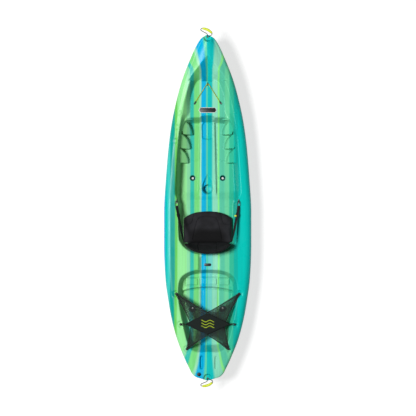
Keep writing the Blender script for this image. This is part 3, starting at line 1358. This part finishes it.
def round_post(post, before, after, radius, steps=5):
    """Points of a cord that comes from before, goes round the post's far side and on to after."""
    post, before, after = Vector(post), Vector(before), Vector(after)

    def touch(other, turn):
        away = other - post
        a = math.atan2(away.y, away.x) + turn * math.acos(radius / away.length)
        return a

    start, end = touch(before, 1), touch(after, -1)
    while end < start:
        end += 2 * math.pi
    if end - start < math.pi * 0.6:
        start, end = touch(before, -1), touch(after, 1)
        while end > start:
            end -= 2 * math.pi
    return [(post.x + radius * math.cos(start + (end - start) * k / steps),
             post.y + radius * math.sin(start + (end - start) * k / steps)) for k in range(steps + 1)]


def net_outline():
    """The net's corners, clockwise from its front middle."""
    fx, fy = POSTS["front"]
    rx, ry = POSTS["rear"]
    waist = NET_WAIST
    right = [NET_FRONT, (fx, fy), waist[0], waist[1], (rx, ry), NET_REAR]
    return right + [(-x, y) for x, y in reversed(right[1:-1])]


def net(cord, mesh_cloth, panel_cloth):
    loop = net_outline()
    wrap = POST_RADIUS + NET_CORD_RADIUS + 0.0004
    path = []
    for i, corner in enumerate(loop):
        if i in (1, 4, 6, 9):
            path += round_post(corner, loop[i - 1], loop[(i + 1) % len(loop)], wrap)
        else:
            before, after = Vector(loop[i - 1]), Vector(loop[(i + 1) % len(loop)])
            here = Vector(corner)
            path += [tuple(here.lerp(before, 0.07)), tuple(here.lerp(here.lerp(before, 0.02)
                     .lerp(here.lerp(after, 0.02), 0.5), 1.0)), tuple(here.lerp(after, 0.07))]
    spots = [(x, y, net_z(y)) for x, y in path]
    tube("net_edge_cord", spots, NET_CORD_RADIUS, "kayak", cord, cyclic=True)
    # The mesh: four arms and a middle, each crossed by strands
    edge = NET_CORD_RADIUS + NET_STRUT / 2 + 0.0004
    front, rear = Vector(NET_FRONT), Vector(NET_REAR)
    top, bottom = front - Vector((0, edge * 1.15)), rear + Vector((0, edge * 1.15))
    w0 = Vector(NET_WAIST[0]) - Vector((edge * 1.1, 0.0))
    w1 = Vector(NET_WAIST[1]) - Vector((edge * 1.1, 0.0))

    def tip(corner, a, b):
        """The arm's corner, drawn back until the mesh fits between its two cords."""
        corner, a, b = Vector(corner), Vector(a), Vector(b)
        half = (a - corner).angle(b - corner) / 2
        bisector = ((a - corner).normalized() + (b - corner).normalized()).normalized()
        return corner + bisector * ((edge + wrap) / math.sin(half))

    fore = tip(POSTS["front"], NET_FRONT, NET_WAIST[0])
    aft = tip(POSTS["rear"], NET_WAIST[1], NET_REAR)
    bm = bmesh.new()

    def vert(x, y):
        return bm.verts.new((x, y, net_z(y)))

    mid = [vert(*top), vert(*bottom)]
    for side in (-1, 1):
        a, b = vert(side * w0.x, w0.y), vert(side * w1.x, w1.y)
        f, r = vert(side * fore.x, fore.y), vert(side * aft.x, aft.y)
        for loop_verts in ((mid[0], f, a), (mid[1], b, r), (mid[0], a, b, mid[1])):
            bm.faces.new(loop_verts)
    bmesh.ops.subdivide_edges(bm, edges=bm.edges, cuts=NET_CUTS, use_grid_fill=True)
    for v in bm.verts:
        v.co.z = net_z(v.co.y)
    mesh = mesh_from("tank_net", bm)
    made = put("tank_net", mesh, "kayak", mesh_cloth)
    wires = made.modifiers.new("strands", "WIREFRAME")
    wires.thickness = NET_STRUT
    wires.use_boundary = True
    wires.use_even_offset = False
    # The diamond panel lies over the mesh, pulled out to the middle posts
    px, py = POSTS["middle"]
    lift = NET_CORD_RADIUS + GAP / 4

    def panel_ring(level):
        rim = [(0.0, front.y - 0.006), (PANEL_REACH, py), (0.0, rear.y + 0.006), (-PANEL_REACH, py)]
        return [(x, y, net_z(y) + lift + level) for x, y in rim]

    loft("net_panel", [panel_ring(0.0), panel_ring(PANEL_THICKNESS)], "kayak", panel_cloth)
    for word, side in (("port", -1), ("starboard", 1)):
        z = net_z(py)
        near = side * (PANEL_REACH + 0.0042)
        ring = [(side * px + side * wrap * math.cos(a), py + wrap * math.sin(a))
                for a in [math.radians(d) for d in (-75, -40, 0, 40, 75)]]
        route = [(near, py - 0.0035)] + ring + [(near, py + 0.0035)]
        tube(f"net_side_loop_{word}", [(x, y, z) for x, y in route], NET_CORD_RADIUS, "kayak", cord, cyclic=True)


def badges(dark):
    """Plain plates stuck to the platform and to the rear channel's floor."""
    for name, (length, width, y), floor in (("bow_badge", BOW_BADGE, PLATFORM_Z),
                                            ("rear_badge", REAR_BADGE, CHANNEL_Z)):
        outline = pill(0.0, y, length, width, along_y=False, steps=6)
        loft(name, [at(outline, floor + GAP), at(outline, floor + GAP + BADGE_THICKNESS)], "kayak", dark)


def scene_collections():
    for name in ("kayak", "well insides", "well walls", "well cores", "brace solids", "brace hollows",
                 "deck cuts", "hull cuts", "through holes", "fitting cuts"):
        if name not in bpy.data.collections:
            made = bpy.data.collections.new(name)
            bpy.context.scene.collection.children.link(made)


def main():
    clear_scene()
    scene_collections()
    teal = material("deck_plastic", (0.02, 0.62, 0.55), 0.35)
    blue = material("hull_plastic", (0.02, 0.55, 0.60), 0.35)
    foam = material("white_foam", (0.92, 0.92, 0.90), 0.9)
    black = material("black_nylon", (0.015, 0.015, 0.016), 0.45)
    steel = material("stainless_steel", (0.70, 0.70, 0.70), 0.3, 1.0)
    lime = material("lime_plastic", (0.70, 0.80, 0.02), 0.4)
    lime_cord = material("lime_cord", (0.62, 0.72, 0.03), 0.8)
    black_cord = material("black_cord", (0.012, 0.012, 0.013), 0.85)
    webbing = material("black_webbing", (0.01, 0.01, 0.011), 0.9)
    cloth = material("seat_cloth", (0.025, 0.025, 0.028), 0.95)
    net_cloth = material("net_cloth", (0.02, 0.03, 0.03), 0.9)
    rubber = material("seal_rubber", (0.03, 0.03, 0.03), 0.8)
    deck_shell(teal)
    hull_shell(blue)
    scupper_tubes(teal)
    foam_blocks(foam)
    handles(lime, black_cord)
    drain_plug(black, rubber)
    cushion(cloth)
    backrest(cloth)
    padeyes(black, steel)
    snap_hooks(black)
    straps(webbing, black)
    bow_bungee(lime_cord, black, steel)
    posts(black)
    net(black_cord, net_cloth, net_cloth)
    badges(black)


main()
